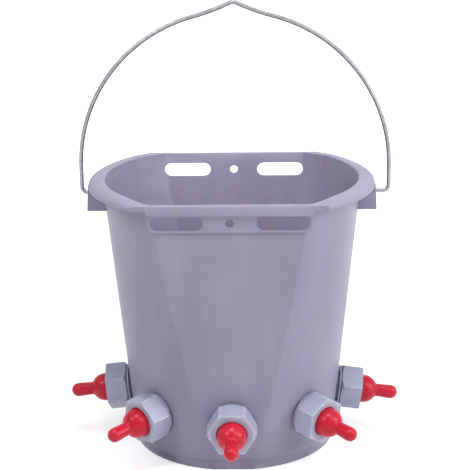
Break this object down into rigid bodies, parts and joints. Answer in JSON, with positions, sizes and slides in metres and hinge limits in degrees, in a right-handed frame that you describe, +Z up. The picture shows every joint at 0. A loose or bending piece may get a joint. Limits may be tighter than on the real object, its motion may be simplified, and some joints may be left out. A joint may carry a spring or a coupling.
{
  "type": "multi teat lamb feeder bucket",
  "caption": "Flat-sided plastic feeding bucket with a wire bail, slotted hanging bands and rubber teats held by hexagon union nuts around its lower wall.",
  "frame": {"origin": "middle of the foot on the ground", "axes": "+Z up, -Y out of the front teat, X along the bail's pivot"},
  "size_m": [0.3194, 0.2712, 0.4227],
  "materials": {
    "bucket_plastic": "satin grey polypropylene",
    "fitting_plastic": "satin light grey nylon",
    "teat_rubber": "soft red rubber",
    "gasket_rubber": "black rubber",
    "bail_wire": "galvanised wire"
  },
  "bodies": {
    "bucket_body": {"bucket": "bucket_plastic", "spigot_left": "fitting_plastic", "gasket_left": "gasket_rubber", "lock_ring_left": "fitting_plastic", "spigot_left_front": "fitting_plastic", "gasket_left_front": "gasket_rubber", "lock_ring_left_front": "fitting_plastic", "spigot_front": "fitting_plastic", "gasket_front": "gasket_rubber", "lock_ring_front": "fitting_plastic", "spigot_right_front": "fitting_plastic", "gasket_right_front": "gasket_rubber", "lock_ring_right_front": "fitting_plastic", "spigot_right": "fitting_plastic", "gasket_right": "gasket_rubber", "lock_ring_right": "fitting_plastic"},
    "bail": {"bail_handle": "bail_wire"},
    "teat_left_body": {"teat_left": "teat_rubber"},
    "nut_left_body": {"union_nut_left": "fitting_plastic"},
    "teat_left_front_body": {"teat_left_front": "teat_rubber"},
    "nut_left_front_body": {"union_nut_left_front": "fitting_plastic"},
    "teat_front_body": {"teat_front": "teat_rubber"},
    "nut_front_body": {"union_nut_front": "fitting_plastic"},
    "teat_right_front_body": {"teat_right_front": "teat_rubber"},
    "nut_right_front_body": {"union_nut_right_front": "fitting_plastic"},
    "teat_right_body": {"teat_right": "teat_rubber"},
    "nut_right_body": {"union_nut_right": "fitting_plastic"}
  },
  "joints": [
    {"name": "bail_swing", "type": "hinge", "parent": "bucket_body", "child": "bail", "pos_m": [0, 0, 0.243], "axis": [1, 0, 0], "range_deg": [-137, 137]},
    {"name": "teat_left_slide", "type": "slide", "parent": "bucket_body", "child": "teat_left_body", "axis": [-0.9934, 0, -0.1147], "range_m": [0, 0.012]},
    {"name": "nut_left_turn", "type": "hinge", "parent": "teat_left_body", "child": "nut_left_body", "pos_m": [-0.10074, 0, 0.04897], "axis": [-0.9934, 0, -0.1147], "range_deg": [0, 1440]},
    {"name": "teat_left_front_slide", "type": "slide", "parent": "bucket_body", "child": "teat_left_front_body", "axis": [-0.7007, -0.7007, -0.1341], "range_m": [0, 0.012]},
    {"name": "nut_left_front_turn", "type": "hinge", "parent": "teat_left_front_body", "child": "nut_left_front_body", "pos_m": [-0.06985, -0.07438, 0.04948], "axis": [-0.7007, -0.7007, -0.1341], "range_deg": [0, 1440]},
    {"name": "teat_front_slide", "type": "slide", "parent": "bucket_body", "child": "teat_front_body", "axis": [0, -0.9889, -0.1488], "range_m": [0, 0.012]},
    {"name": "nut_front_turn", "type": "hinge", "parent": "teat_front_body", "child": "nut_front_body", "pos_m": [0, -0.09965, 0.04937], "axis": [0, -0.9889, -0.1488], "range_deg": [0, 1440]},
    {"name": "teat_right_front_slide", "type": "slide", "parent": "bucket_body", "child": "teat_right_front_body", "axis": [0.7007, -0.7007, -0.1341], "range_m": [0, 0.012]},
    {"name": "nut_right_front_turn", "type": "hinge", "parent": "teat_right_front_body", "child": "nut_right_front_body", "pos_m": [0.06985, -0.07438, 0.04948], "axis": [0.7007, -0.7007, -0.1341], "range_deg": [0, 1440]},
    {"name": "teat_right_slide", "type": "slide", "parent": "bucket_body", "child": "teat_right_body", "axis": [0.9912, 0, -0.132], "range_m": [0, 0.012]},
    {"name": "nut_right_turn", "type": "hinge", "parent": "teat_right_body", "child": "nut_right_body", "pos_m": [0.10083, 0, 0.04642], "axis": [0.9912, 0, -0.132], "range_deg": [0, 1440]}
  ],
  "couplings": [
    {"joint": "teat_left_slide", "follows": "nut_left_turn", "m_per_rad": 0.00047746},
    {"joint": "teat_left_front_slide", "follows": "nut_left_front_turn", "m_per_rad": 0.00047746},
    {"joint": "teat_front_slide", "follows": "nut_front_turn", "m_per_rad": 0.00047746},
    {"joint": "teat_right_front_slide", "follows": "nut_right_front_turn", "m_per_rad": 0.00047746},
    {"joint": "teat_right_slide", "follows": "nut_right_turn", "m_per_rad": 0.00047746}
  ]
}
